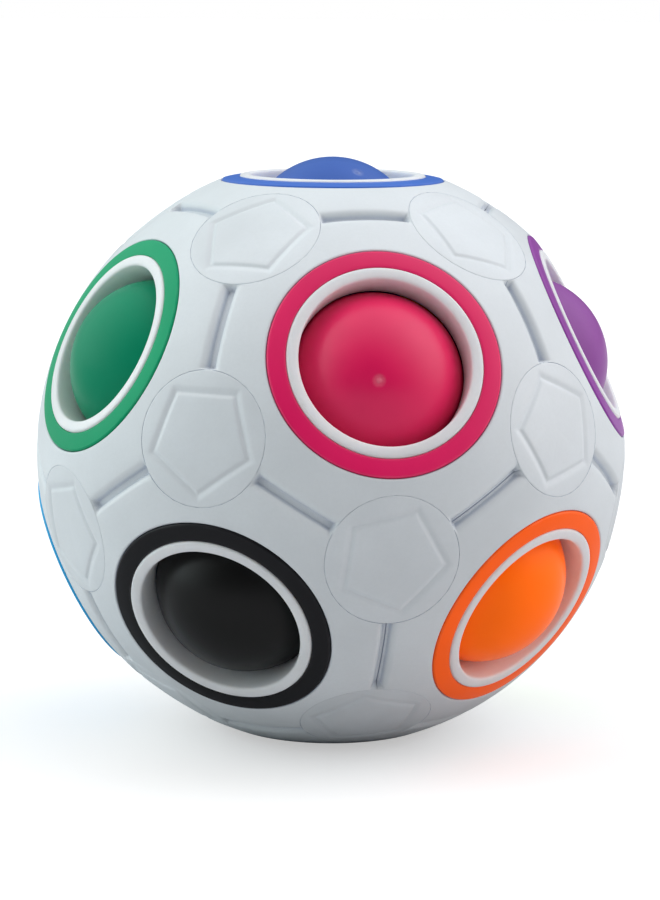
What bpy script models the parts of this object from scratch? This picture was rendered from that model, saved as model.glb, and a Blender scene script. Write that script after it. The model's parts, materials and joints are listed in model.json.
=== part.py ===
"""Twelve-hole puzzle ball: a two-piece shell with a ring and a lip round each hole, eleven coloured balls,
engraved caps where three holes meet, seam screws under ten of the caps, and a soft core ball.

Every length below is in millimetres and is scaled to metres when a mesh is made. The shell's centre is
CENTRE_Z above the origin, and the origin is the middle of the plane that the empty bottom hole's lip stands on.
"""

from math import asin, atan, cos, pi, radians, sin, sqrt

import bmesh
import bpy
import numpy as np
from mathutils import Matrix

MM = 0.001

# Shell
SHELL_R = 35.0  # outside
SKIN_R = 31.4  # inside of the wall
SIDES = 25  # facets round a hole
SEAM_GAP = 0.08  # half of the gap between the two halves

# Hole, lip and the groove that holds a ring
SEAT_R, SEAT_H = 9.5, 29.35  # the edge that holds a ball in
LIP_IN_R, LIP_IN_H = 9.62, 32.92
LIP_TOP_IN_R, LIP_TOP_OUT_R, LIP_H = 9.82, 10.7, 33.1
LIP_OUT_R, LIP_OUT_H = 10.95, 32.86
GROOVE_OUT_R, GROOVE_H = 13.05, 31.2
COLLAR_R, COLLAR_H = 10.9, 28.85
COLLAR_TOP_R = 11.1

# Ring
RING_IN_R, RING_IN_H = 11.08, 32.84
RING_OUT_R, RING_OUT_H = 12.94, 32.5
RING_BASE_H = 31.35

# Slots along the edges between two holes
SLOT_TOP, SLOT_FLOOR = 0.98, 0.36  # half widths
SLOT_R = 34.05
SLOT_END_U, SLOT_FOOT_U = 7.85, 8.05  # where a slot begins, from the axis of the recess

# Recess and cap where three holes meet
RECESS_R, RECESS_H = 7.5, 32.9
SCREW_HOLE_R = 1.5
CAP_R, CAP_BASE_H = 7.32, 33.05
PENTAGON_IN, PENTAGON_LOW, PENTAGON_OUT = 5.95, 6.25, 7.0  # corner radii
PENTAGON_DEPTH, PENTAGON_DOME = 0.32, 34.82
POCKET_R, POCKET_H = 2.7, 34.05

# Screw and the lug that it goes into
HEAD_R, HEAD_LOW, HEAD_TOP = 2.3, 33.05, 33.85
SHANK_R, SHANK_LOW = 1.0, 28.75
LUG_R, LUG_LOW, LUG_TOP, LUG_HOLE_R = 4.3, 28.6, 30.3, 1.35
BOSS_R, BOSS_OFF, BOSS_LOW, BOSS_TOP = 2.2, 4.0, 29.0, 32.2

# Balls
BALL_R, BALL_AT = 10.2, 25.2
CORE_R = 14.85
CENTRE_Z = LIP_H

# The ball beside the empty hole swings to it under the web; half of the turn
SWING_HALF = radians(40.3)

UPPER = atan(2.0)  # tilt of the upper row of holes from the top
HOLES = {
    "blue": (0.0, 0.0),
    "pink": (UPPER, -90.0),
    "purple": (UPPER, -18.0),
    "yellow": (UPPER, 54.0),
    "red": (UPPER, 126.0),
    "green": (UPPER, 198.0),
    "orange": (pi - UPPER, -54.0),
    "lime": (pi - UPPER, 18.0),
    "brown": (pi - UPPER, 90.0),
    "cyan": (pi - UPPER, 162.0),
    "black": (pi - UPPER, 234.0),
    "grey": (pi, 0.0),
}
EMPTY_HOLE = "grey"
SWINGER = "black"
HALF_A = ("green", "blue", "pink", "black", "cyan", "red")

COLOURS = {
    "blue": (0.030, 0.120, 0.560),
    "pink": (0.680, 0.012, 0.110),
    "purple": (0.300, 0.075, 0.430),
    "yellow": (0.860, 0.600, 0.020),
    "red": (0.620, 0.012, 0.016),
    "green": (0.017, 0.350, 0.160),
    "orange": (0.900, 0.100, 0.012),
    "lime": (0.360, 0.640, 0.040),
    "brown": (0.180, 0.075, 0.030),
    "cyan": (0.045, 0.400, 0.700),
    "black": (0.012, 0.012, 0.013),
    "grey": (0.270, 0.280, 0.290),
}
BALL_COLOURS = dict(COLOURS, orange=(0.930, 0.180, 0.010))

# Which of its three holes a cap's first corner points at
CAP_POINTS = {
    frozenset(("pink", "orange", "black")): "black",
    frozenset(("pink", "green", "black")): "black",
    frozenset(("blue", "pink", "green")): "blue",
    frozenset(("blue", "pink", "purple")): "pink",
    frozenset(("pink", "purple", "orange")): "purple",
    frozenset(("green", "cyan", "black")): "cyan",
    frozenset(("orange", "black", "grey")): "orange",
}


def unit(v):
    return v / np.linalg.norm(v)


def direction(polar, azimuth):
    a = radians(azimuth)
    return np.array([sin(polar) * cos(a), sin(polar) * sin(a), cos(polar)])


AXES = {name: direction(*where) for name, where in HOLES.items()}
NAMES = list(HOLES)


def beside(a, b):
    return 0.4 < AXES[a] @ AXES[b] < 0.5


CORNERS = []  # (axis, the three holes round it)
for i, first in enumerate(NAMES):
    for j, second in enumerate(NAMES[i + 1 :], i + 1):
        for third in NAMES[j + 1 :]:
            if beside(first, second) and beside(second, third) and beside(first, third):
                CORNERS.append(
                    (unit(AXES[first] + AXES[second] + AXES[third]), (first, second, third))
                )


def half_of(name):
    return "a" if name in HALF_A else "b"


def on_seam(holes):
    return len({half_of(name) for name in holes}) > 1


class Surface:
    """Triangles whose corners are merged where they coincide."""

    def __init__(self):
        self.index, self.points, self.faces = {}, [], []

    def corner(self, p):
        key = tuple(np.round(np.asarray(p, float) * 2000).astype(int))
        if key not in self.index:
            self.index[key] = len(self.points)
            self.points.append(tuple(float(x) for x in p))
        return self.index[key]

    def face(self, *corners):
        ids = []
        for p in corners:
            n = self.corner(p)
            if n not in ids:
                ids.append(n)
        if len(ids) > 2:
            self.faces.append(tuple(ids))

    def band(self, lower, upper):
        """Joins two closed loops that have the same number of points."""
        n = len(lower)
        for i in range(n):
            j = (i + 1) % n
            self.face(lower[i], lower[j], upper[j])
            self.face(lower[i], upper[j], upper[i])

    def strip(self, lower, upper):
        """Joins two open rows that have the same number of points."""
        for i in range(len(lower) - 1):
            self.face(lower[i], lower[i + 1], upper[i + 1])
            self.face(lower[i], upper[i + 1], upper[i])

    def bridge(self, first, first_at, second, second_at):
        """Joins two closed loops of different counts, walking both by their angle."""
        n, m, i, j = len(first), len(second), 0, 0
        while i < n or j < m:
            next_i = first_at[(i + 1) % n] + 2 * pi * ((i + 1) // n) if i < n else 99.0
            next_j = second_at[(j + 1) % m] + 2 * pi * ((j + 1) // m) if j < m else 99.0
            if next_i <= next_j:
                self.face(first[i], first[(i + 1) % n], second[j % m])
                i += 1
            else:
                self.face(first[i % n], second[(j + 1) % m], second[j])
                j += 1

    def fan(self, loop, middle):
        for i in range(len(loop)):
            self.face(loop[i], loop[(i + 1) % len(loop)], middle)


def finish_mesh(bm, name, smooth_angle=None):
    bmesh.ops.recalc_face_normals(bm, faces=bm.faces)
    mesh = bpy.data.meshes.new(name)
    bm.to_mesh(mesh)
    bm.free()
    for polygon in mesh.polygons:
        polygon.use_smooth = smooth_angle is not None
    if smooth_angle is not None:
        mesh.set_sharp_from_angle(angle=radians(smooth_angle))
    return mesh


def mesh_from(surface, name, origin=(0.0, 0.0, 0.0), smooth_angle=30.0):
    bm = bmesh.new()
    corners = [bm.verts.new((np.array(p) - origin) * MM) for p in surface.points]
    for face in surface.faces:
        bm.faces.new([corners[i] for i in face])
    return finish_mesh(bm, name, smooth_angle)


def material(name, colour, roughness, metallic=0.0, ior=1.5):
    made = bpy.data.materials.new(name)
    made.use_nodes = True
    shader = made.node_tree.nodes["Principled BSDF"]
    shader.inputs["Base Color"].default_value = (*colour, 1.0)
    shader.inputs["Roughness"].default_value = roughness
    shader.inputs["Metallic"].default_value = metallic
    shader.inputs["IOR"].default_value = ior
    made.diffuse_color = (*colour, 1.0)
    return made


def place(name, mesh, slot, parent, at=(0.0, 0.0, 0.0)):
    obj = bpy.data.objects.new(name, mesh)
    obj.data.materials.append(slot)
    bpy.context.scene.collection.objects.link(obj)
    obj.parent = parent
    obj.location = np.array(at) * MM
    return obj


def frame_of(axis, towards):
    """Two directions square to the axis, the first leaning towards the given one."""
    first = unit(towards - (towards @ axis) * axis)
    return first, np.cross(axis, first)


def circle(axis, first, second, r, h, sides, start=0.0):
    turn = start + 2 * pi * np.arange(sides) / sides
    return [axis * h + r * (cos(t) * first + sin(t) * second) for t in turn]


def edge_frame(corner, other, axis, neighbour):
    """At a corner of a cell: along the edge to the other corner, and square to the edge on the cell's side."""
    along = unit(other - (other @ corner) * corner)
    side = unit(axis - neighbour)
    return along, side


def round_corner(corner, frame, h, r, aside):
    """A point on the cylinder of radius r round a corner's axis, this far to the side of the edge."""
    along, side = frame
    return corner * h + sqrt(max(r * r - aside * aside, 0.0)) * along + aside * side


def add_cell(surface, name):
    """One hole with its lip and ring groove, and the five-sided piece of shell round it."""
    axis = AXES[name]
    around = [c for c in CORNERS if name in c[1]]
    first, second = frame_of(axis, around[0][0])
    around.sort(key=lambda c: round(float(np.arctan2(c[0] @ second, c[0] @ first)), 3) % 6.283)

    profile = [
        (COLLAR_TOP_R, sqrt(SKIN_R**2 - COLLAR_TOP_R**2)),
        (COLLAR_R, COLLAR_H),
        (SEAT_R, SEAT_H),
        (LIP_IN_R, LIP_IN_H),
        (LIP_TOP_IN_R, LIP_H),
        (LIP_TOP_OUT_R, LIP_H),
        (LIP_OUT_R, LIP_OUT_H),
        (LIP_OUT_R, GROOVE_H),
        (GROOVE_OUT_R, GROOVE_H),
        (GROOVE_OUT_R, sqrt(SHELL_R**2 - GROOVE_OUT_R**2)),
    ]
    loops = [circle(axis, first, second, r, h, SIDES) for r, h in profile]
    for lower, upper in zip(loops, loops[1:]):
        surface.band(lower, upper)
    turn = [2 * pi * i / SIDES for i in range(SIDES)]

    outside, inside = [], []
    recess_top = sqrt(SHELL_R**2 - RECESS_R**2)
    for k, (corner, holes) in enumerate(around):
        rows = []
        hole_r = SCREW_HOLE_R if on_seam(holes) else 0.0
        for step in (-1, 1):
            other, others = around[(k + step) % 5]
            neighbour = next(h for h in holes if h != name and h in others)
            frame = edge_frame(corner, other, axis, AXES[neighbour])
            along, side = frame
            seam = half_of(neighbour) != half_of(name)
            gap = SEAM_GAP if seam else 0.0
            mid = unit(corner + other)

            first_b = asin(gap / RECESS_R)
            steps = [first_b + (pi / 3 - first_b) * i / 3 for i in range(4)]
            rim = [corner * recess_top + RECESS_R * (cos(b) * along + sin(b) * side) for b in steps]
            floor = [corner * RECESS_H + RECESS_R * (cos(b) * along + sin(b) * side) for b in steps]
            surface.strip(rim, floor)
            end_top_mid, end_top, end_foot, end_foot_mid = (
                corner * sqrt(r * r - u * u - v * v) + u * along + v * side
                for u, v, r in (
                    (SLOT_END_U, gap, SHELL_R),
                    (SLOT_END_U, SLOT_TOP, SHELL_R),
                    (SLOT_FOOT_U, SLOT_FLOOR, SLOT_R),
                    (SLOT_FOOT_U, gap, SLOT_R),
                )
            )
            surface.face(end_top_mid, end_top, end_foot)
            surface.face(end_top_mid, end_foot, end_foot_mid)

            hole_edge = round_corner(corner, frame, RECESS_H, hole_r, min(gap, hole_r))
            hole_in = corner * RECESS_H + hole_r * (cos(pi / 3) * along + sin(pi / 3) * side)
            skin_h = sqrt(SKIN_R**2 - hole_r**2)
            skin_edge = round_corner(corner, frame, skin_h, hole_r, min(gap, hole_r))
            skin_in = corner * skin_h + hole_r * (cos(pi / 3) * along + sin(pi / 3) * side)
            surface.face(floor[0], floor[1], hole_edge)
            surface.face(floor[1], floor[2], hole_edge)
            surface.face(hole_edge, floor[2], hole_in)
            surface.face(floor[2], floor[3], hole_in)
            surface.face(hole_edge, hole_in, skin_in)
            surface.face(hole_edge, skin_in, skin_edge)

            top_mid = mid * sqrt(SHELL_R**2 - SLOT_TOP**2) + side * SLOT_TOP
            foot_mid = mid * sqrt(SLOT_R**2 - SLOT_FLOOR**2) + side * SLOT_FLOOR
            low_mid = mid * sqrt(SLOT_R**2 - gap**2) + side * gap
            skin_mid = mid * sqrt(SKIN_R**2 - gap**2) + side * gap
            surface.strip([end_top, end_foot, end_foot_mid], [top_mid, foot_mid, low_mid])
            if seam:
                surface.face(skin_edge, hole_edge, floor[0])
                surface.face(skin_edge, floor[0], skin_mid)
                surface.face(floor[0], end_foot_mid, skin_mid)
                surface.face(floor[0], rim[0], end_foot_mid)
                surface.face(rim[0], end_top_mid, end_foot_mid)
                surface.face(end_foot_mid, low_mid, skin_mid)
            rows.append(([end_top, end_top_mid, *rim], skin_edge, skin_in, top_mid, skin_mid))

        before, after = rows
        outside += before[0][:-1] + after[0][::-1] + [after[3]]
        inside += [before[1], before[2], after[1], after[4]]

    def angles(loop):
        """The loop's angles from the first corner's direction, rising from 0 to a full turn."""
        found = [0.0]
        for p in loop[1:]:
            turned = float(np.arctan2(p @ second, p @ first)) % (2 * pi)
            if found[-1] < 1.0 and turned > 6.0:
                turned = 0.0
            elif found[-1] > 5.0 and turned < 1.0:
                turned = 2 * pi
            found.append(max(turned, found[-1]))
        return found

    # Both loops start at the first corner's own direction.
    outside = outside[5:] + outside[:5]
    inside = inside[1:] + inside[:1]
    outside_at, inside_at = angles(outside), angles(inside)
    surface.bridge(loops[-1], turn, outside, outside_at)
    surface.bridge(loops[0], turn, inside, inside_at)


def solid_of_turning(profile, axis, first, second, sides, start=0.0):
    """A closed solid turned round an axis through the centre; a radius of 0 closes an end."""
    made = Surface()
    loops = [circle(axis, first, second, r, h, sides, start) if r else None for r, h in profile]
    for k in range(len(profile) - 1):
        if loops[k] is None:
            made.fan(loops[k + 1], axis * profile[k][1])
        elif loops[k + 1] is None:
            made.fan(loops[k], axis * profile[k + 1][1])
        else:
            made.band(loops[k], loops[k + 1])
    return made


def join(obj, tool):
    """Unites the tool with the object for good, and removes the tool."""
    modifier = obj.modifiers.new("join", "BOOLEAN")
    modifier.operation = "UNION"
    modifier.solver = "EXACT"
    modifier.object = tool
    graph = bpy.context.evaluated_depsgraph_get()
    mesh = bpy.data.meshes.new_from_object(obj.evaluated_get(graph))
    obj.modifiers.clear()
    obj.data = mesh
    bpy.data.objects.remove(tool)


def lug_tools(corner, holes, parent):
    """The plate under the seam that a screw goes into, and the boss that carries it on its own half."""
    sides = [half_of(h) for h in holes]
    owner = "a" if sides.count("a") == 2 else "b"
    lone = next(h for h in holes if half_of(h) != owner)
    first, second = frame_of(corner, -AXES[lone])
    plate = solid_of_turning(
        [(LUG_HOLE_R, LUG_LOW), (LUG_R, LUG_LOW), (LUG_R, LUG_TOP), (LUG_HOLE_R, LUG_TOP), (LUG_HOLE_R, LUG_LOW)],
        corner, first, second, 10, pi / 10,
    )
    boss = Surface()
    shift = first * BOSS_OFF
    low = [p + shift for p in circle(corner, first, second, BOSS_R, BOSS_LOW, 6)]
    top = [p + shift for p in circle(corner, first, second, BOSS_R, BOSS_TOP, 6)]
    boss.band(low, top)
    boss.fan(low, corner * BOSS_LOW + shift)
    boss.fan(top, corner * BOSS_TOP + shift)
    made = []
    for name, surface in (("plate", plate), ("boss", boss)):
        tool = bpy.data.objects.new(name, mesh_from(surface, name))
        bpy.context.scene.collection.objects.link(tool)
        tool.parent = parent
        tool.hide_render = True
        tool.display_type = "WIRE"
        made.append(tool)
    return owner, made


def cap_surface(axis, towards):
    first, second = frame_of(axis, towards)
    made = Surface()

    def sphere(r, drop=0.0):
        return sqrt(SHELL_R**2 - r * r) - drop

    inner = circle(axis, first, second, PENTAGON_IN, sphere(PENTAGON_IN), 5)
    low = circle(axis, first, second, PENTAGON_LOW, sphere(PENTAGON_LOW, PENTAGON_DEPTH), 5)
    outer = circle(axis, first, second, PENTAGON_OUT, sphere(PENTAGON_OUT), 5)
    rim = circle(axis, first, second, CAP_R, sphere(CAP_R), 20)
    base = circle(axis, first, second, CAP_R, CAP_BASE_H, 20)
    pocket = circle(axis, first, second, POCKET_R, CAP_BASE_H, 10)
    pocket_top = circle(axis, first, second, POCKET_R, POCKET_H, 10)
    fifth = [2 * pi * i / 5 for i in range(5)]
    twentieth = [2 * pi * i / 20 for i in range(20)]
    tenth = [2 * pi * i / 10 for i in range(10)]
    made.fan(inner, axis * PENTAGON_DOME)
    made.band(inner, low)
    made.band(low, outer)
    made.bridge(outer, fifth, rim, twentieth)
    made.band(rim, base)
    made.bridge(base, twentieth, pocket, tenth)
    made.band(pocket, pocket_top)
    made.fan(pocket_top, axis * POCKET_H)
    return made


def ball_mesh(name, r, subdivisions, at=(0.0, 0.0, 0.0)):
    bm = bmesh.new()
    bmesh.ops.create_icosphere(
        bm, subdivisions=subdivisions, radius=r * MM, matrix=Matrix.Translation(np.array(at) * MM)
    )
    return finish_mesh(bm, name, 60.0)


def main():
    for old in list(bpy.data.objects):
        bpy.data.objects.remove(old)

    centre = bpy.data.objects.new("centre", None)
    bpy.context.scene.collection.objects.link(centre)
    centre.location = (0.0, 0.0, CENTRE_Z * MM)

    white = (0.780, 0.810, 0.830)
    halves = {}
    for half in "ab":
        surface = Surface()
        for name in NAMES:
            if half_of(name) == half:
                add_cell(surface, name)
        node = f"shell_half_{half}"
        halves[half] = place(node, mesh_from(surface, node), material(node, white, 0.36), centre)

    caps = sorted(CORNERS, key=lambda c: (-round(float(c[0][2]), 3), round(float(np.arctan2(c[0][1], c[0][0])), 3)))
    screws = 0
    for number, (axis, holes) in enumerate(caps, 1):
        pointed = CAP_POINTS.get(frozenset(holes), holes[number % 3])
        node = f"cap_{number:02d}"
        place(node, mesh_from(cap_surface(axis, AXES[pointed]), node), material(node, white, 0.34), centre)
        if not on_seam(holes):
            continue
        screws += 1
        node = f"screw_{screws:02d}"
        first, second = frame_of(axis, AXES[holes[0]])
        body = solid_of_turning(
            [(0.0, SHANK_LOW), (SHANK_R, SHANK_LOW + 0.3), (SHANK_R, HEAD_LOW), (HEAD_R, HEAD_LOW), (HEAD_R, HEAD_TOP - 0.25), (HEAD_R - 0.3, HEAD_TOP), (0.0, HEAD_TOP)],
            axis, first, second, 10,
        )
        place(node, mesh_from(body, node), material(node, (0.55, 0.55, 0.56), 0.3, 1.0), centre)
        owner, tools = lug_tools(axis, holes, centre)
        bpy.context.view_layer.update()
        for tool in tools:
            join(halves[owner], tool)

    for name in NAMES:
        axis = AXES[name]
        nearest = [c for c in CORNERS if name in c[1]][0][0]
        first, second = frame_of(axis, nearest)
        node = f"ring_{name}"
        ring = solid_of_turning(
            [(RING_IN_R, RING_BASE_H), (RING_OUT_R, RING_BASE_H), (RING_OUT_R, RING_OUT_H), (RING_IN_R, RING_IN_H), (RING_IN_R, RING_BASE_H)],
            axis, first, second, SIDES,
        )
        place(node, mesh_from(ring, node), material(node, COLOURS[name], 0.34), centre)
        if name == EMPTY_HOLE:
            continue
        node = f"ball_{name}"
        slot = material(node, BALL_COLOURS[name], 0.3)
        if name != SWINGER:
            place(node, ball_mesh(node, BALL_R, 3), slot, centre, axis * BALL_AT)
            continue
        # The hinge line lies outside the web between the two holes, square to both of their axes.
        goal = AXES[EMPTY_HOLE]
        mid = unit(axis + goal)
        half_chord = BALL_AT * sqrt((1 - float(axis @ goal)) / 2)
        middle = BALL_AT * sqrt((1 + float(axis @ goal)) / 2)
        pivot_at = mid * (middle + half_chord * cos(SWING_HALF) / sin(SWING_HALF))
        pivot = bpy.data.objects.new("swing_pivot", None)
        bpy.context.scene.collection.objects.link(pivot)
        pivot.parent = centre
        pivot.location = pivot_at * MM
        place(node, ball_mesh(node, BALL_R, 3), slot, pivot, axis * BALL_AT - pivot_at)

    place("core_ball", ball_mesh("core_ball", CORE_R, 3), material("core_ball", (0.16, 0.17, 0.18), 0.85), centre)


main()
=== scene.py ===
import json
from math import asin, atan2, cos, pi, radians, sin, sqrt

import bmesh
import bpy
import numpy as np
from mathutils import Matrix, Vector


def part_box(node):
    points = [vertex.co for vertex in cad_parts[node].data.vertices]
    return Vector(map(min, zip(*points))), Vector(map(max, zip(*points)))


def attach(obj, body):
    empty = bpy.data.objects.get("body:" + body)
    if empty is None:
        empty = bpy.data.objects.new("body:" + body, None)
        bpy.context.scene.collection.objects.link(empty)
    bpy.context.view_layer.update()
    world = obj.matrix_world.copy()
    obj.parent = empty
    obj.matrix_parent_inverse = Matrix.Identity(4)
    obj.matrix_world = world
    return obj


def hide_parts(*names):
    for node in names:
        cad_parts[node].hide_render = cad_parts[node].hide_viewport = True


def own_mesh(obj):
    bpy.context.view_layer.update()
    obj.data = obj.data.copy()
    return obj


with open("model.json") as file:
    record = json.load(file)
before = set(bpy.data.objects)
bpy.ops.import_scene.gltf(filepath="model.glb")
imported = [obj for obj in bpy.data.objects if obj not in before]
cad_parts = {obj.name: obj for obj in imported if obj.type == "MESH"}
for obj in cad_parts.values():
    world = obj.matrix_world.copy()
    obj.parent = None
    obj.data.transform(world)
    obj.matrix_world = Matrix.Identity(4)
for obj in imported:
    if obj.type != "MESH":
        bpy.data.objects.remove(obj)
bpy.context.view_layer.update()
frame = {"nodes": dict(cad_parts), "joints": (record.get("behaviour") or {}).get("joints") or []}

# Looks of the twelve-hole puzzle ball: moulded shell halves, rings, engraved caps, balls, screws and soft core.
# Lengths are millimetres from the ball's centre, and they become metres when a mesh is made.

MM = 0.001

# Shell
SHELL_R, SKIN_R = 35.0, 31.4
SEAM_GAP = 0.035

# The land between the holes is drawn in rows at these distances from the slots and recesses
ROWS = (0.0, 0.045, 0.09, 0.15, 0.22, 0.29, 0.35, 0.41, 0.48, 0.57, 0.68, 0.81, 0.95, 1.10, 1.3)
ARC_STEPS = (1.0, 0.80, 0.61, 0.44, 0.30, 0.19, 0.12, 0.07, 0.03)  # columns along a recess, thick near the slot
LINE_STEPS = (0.0, 0.03, 0.06, 0.09, 0.12, 0.15, 0.18, 0.22, 0.28, 0.36, 0.46, 0.60, 0.80, 1.0)
PER_HALF = len(ARC_STEPS) + len(LINE_STEPS) - 1
AROUND = 10 * PER_HALF

# Slots between two holes: a soft shoulder, a steep wall and a flat floor, closed short of the recesses
SLOT_V = (0.0, 0.27, 0.33, 0.385, 0.43, 0.49, 0.57, 0.67, 0.79, 0.92, 1.05, 1.17, 1.28)
SLOT_DROP = (0.90, 0.90, 0.875, 0.785, 0.66, 0.53, 0.40, 0.28, 0.175, 0.095, 0.040, 0.010, 0.0)
SLOT_START, SLOT_FULL = 7.47, 7.74
RECESS_FILLET = 0.09

# Recess, cap and screw
RECESS_R, RECESS_H = 7.5, 32.9
SCREW_HOLE_R = 1.5
CAP_R, CAP_BASE_H = 7.494, 33.05

# Lip, ring groove and the collar inside
GROOVE_IN_R, GROOVE_OUT_R, GROOVE_H = 10.95, 13.05, 31.2
SHOULDER = 0.36  # how far the land rounds down to the ring, and how deep
COLLAR_SKIN_R = 11.1

HALF_A = ("green", "blue", "pink", "black", "cyan", "red")
EMPTY_HOLE = "grey"


def unit(v):
    v = np.asarray(v, float)
    return v / np.linalg.norm(v)


def box_mid(node):
    lo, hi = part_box(node)
    return np.array((lo + hi) / 2, float)


def node_points(node):
    """The node's corners in millimetres from the ball's centre, each one once."""
    mesh = frame["nodes"][node].data
    co = np.empty(len(mesh.vertices) * 3)
    mesh.vertices.foreach_get("co", co)
    matrix = np.array(frame["nodes"][node].matrix_world, float)
    co = co.reshape(-1, 3) @ matrix[:3, :3].T + matrix[:3, 3]
    return np.unique(np.round((co - CENTRE) / MM, 4), axis=0)


CENTRE = box_mid("core_ball")
NODES = sorted(frame["nodes"])
HOLES = [n[5:] for n in NODES if n.startswith("ring_")]
AXES = {h: unit(node_points("ring_" + h).mean(axis=0)) for h in HOLES}


def beside(a, b):
    return 0.4 < AXES[a] @ AXES[b] < 0.5


CORNERS = []  # (axis, the three holes round it)
for i, h1 in enumerate(HOLES):
    for j, h2 in enumerate(HOLES[i + 1 :], i + 1):
        for h3 in HOLES[j + 1 :]:
            if beside(h1, h2) and beside(h2, h3) and beside(h1, h3):
                CORNERS.append((unit(AXES[h1] + AXES[h2] + AXES[h3]), (h1, h2, h3)))


def half_of(hole):
    return "a" if hole in HALF_A else "b"


def on_seam(holes):
    return len({half_of(h) for h in holes}) > 1


def frame_of(axis, towards):
    """Two directions square to the axis, the first leaning towards the given one."""
    first = unit(towards - (towards @ axis) * axis)
    return first, np.cross(axis, first)


class Sheet:
    """Grids of points that are welded into one mesh."""

    def __init__(self):
        self.points, self.faces, self.count = [], [], 0
        self.linings = []  # spans of faces that take the second material

    def add(self, points):
        points = np.asarray(points, float).reshape(-1, 3)
        start = self.count
        self.points.append(points)
        self.count += len(points)
        return start

    def grid(self, rows, closed=False, lit_lining=None):
        """Faces between rows of points; the rows in the lining's span take the second material."""
        rows = np.asarray(rows, float)
        r, c = rows.shape[:2]
        start = self.add(rows)
        if lit_lining:
            at = len(self.faces)
            across = c if closed else c - 1
            self.linings.append((at + lit_lining[0] * across, at + lit_lining[1] * across))
        for i in range(r - 1):
            for j in range(c if closed else c - 1):
                k = (j + 1) % c
                a = start + i * c
                self.faces.append((a + j, a + k, a + c + k, a + c + j))

    def rim_to_rim(self, first, second):
        """Joins two open rows of different counts, keeping pace along both."""
        n, m = len(first), len(second)
        a = self.add(first)
        b = self.add(second)
        i = j = 0
        while i < n - 1 or j < m - 1:
            if j == m - 1 or (i < n - 1 and (i + 1) / (n - 1) <= (j + 1) / (m - 1)):
                self.faces.append((a + i, a + i + 1, b + j))
                i += 1
            else:
                self.faces.append((a + i, b + j + 1, b + j))
                j += 1

    def mesh(self, name, smooth_angle=None, weld=1.5e-3):
        bm = bmesh.new()
        points = np.concatenate(self.points) * MM + CENTRE
        corners = [bm.verts.new(p) for p in points]
        second = set()
        for first_face, last_face in self.linings:
            second.update(range(first_face, last_face))
        for number, f in enumerate(self.faces):
            bm.faces.new([corners[i] for i in f]).material_index = int(number in second)
        bmesh.ops.remove_doubles(bm, verts=bm.verts, dist=weld * MM)
        bmesh.ops.dissolve_degenerate(bm, edges=bm.edges, dist=1e-8)
        bmesh.ops.recalc_face_normals(bm, faces=bm.faces)
        made = bpy.data.meshes.new(name)
        bm.to_mesh(made)
        bm.free()
        for polygon in made.polygons:
            polygon.use_smooth = True
        if smooth_angle:
            made.set_sharp_from_angle(angle=radians(smooth_angle))
        return made


def turned(profile, axis, first, second, angles):
    """Rows of points for a profile of (radius, height) turned round an axis, a count of steps or the angles themselves."""
    if np.isscalar(angles):
        angles = 2 * pi * np.arange(angles) / angles
    spokes = np.cos(angles)[:, None] * first + np.sin(angles)[:, None] * second
    return np.array([r * spokes + h * axis for r, h in profile])


def on_sphere(r, radius=SHELL_R):
    return sqrt(radius * radius - r * r)


# ---------------------------------------------------------------- shell


def lip_profile():
    """From the inner skin, round the collar, up the wall, over the lip and across the ring groove to the land."""
    made = [
        (COLLAR_SKIN_R + 0.25, on_sphere(COLLAR_SKIN_R + 0.25, SKIN_R)),
        (COLLAR_SKIN_R, 29.25),
        (11.02, 29.02),
        (10.95, 28.9),
        (10.82, 28.82),
        (10.55, 28.83),
        (9.85, 29.1),
        (9.62, 29.2),
        (9.53, 29.28),
        (9.5, 29.42),
        (9.5, 29.9),
        (9.52, 30.6),
        (9.55, 31.4),
        (9.58, 32.1),
        (9.605, 32.6),
        (9.615, 32.84),
        (9.64, 32.93),
        (9.69, 33.0),
        (9.77, 33.055),
        (9.90, 33.085),
        (10.20, 33.097),
        (10.50, 33.088),
        (10.70, 33.06),
        (10.82, 33.01),
        (10.90, 32.92),
        (10.94, 32.80),
        (GROOVE_IN_R, 32.62),
        (GROOVE_IN_R, 31.3),
        (GROOVE_IN_R + 0.1, GROOVE_H),
        (GROOVE_OUT_R - 0.1, GROOVE_H),
        (GROOVE_OUT_R, 31.3),
    ]
    top = on_sphere(GROOVE_OUT_R + SHOULDER)
    slope = (GROOVE_OUT_R + SHOULDER) / top  # the land falls away by this for each millimetre out
    for t in np.linspace(0.0, pi / 2, 8):
        d = SHOULDER * (1 - cos(t))
        made.append((GROOVE_OUT_R + d, top + slope * (SHOULDER - d) - SHOULDER * (1 - sin(t))))
    return made


HALF_EDGE = SHELL_R * sin(radians(41.810315) / 2)


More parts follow.
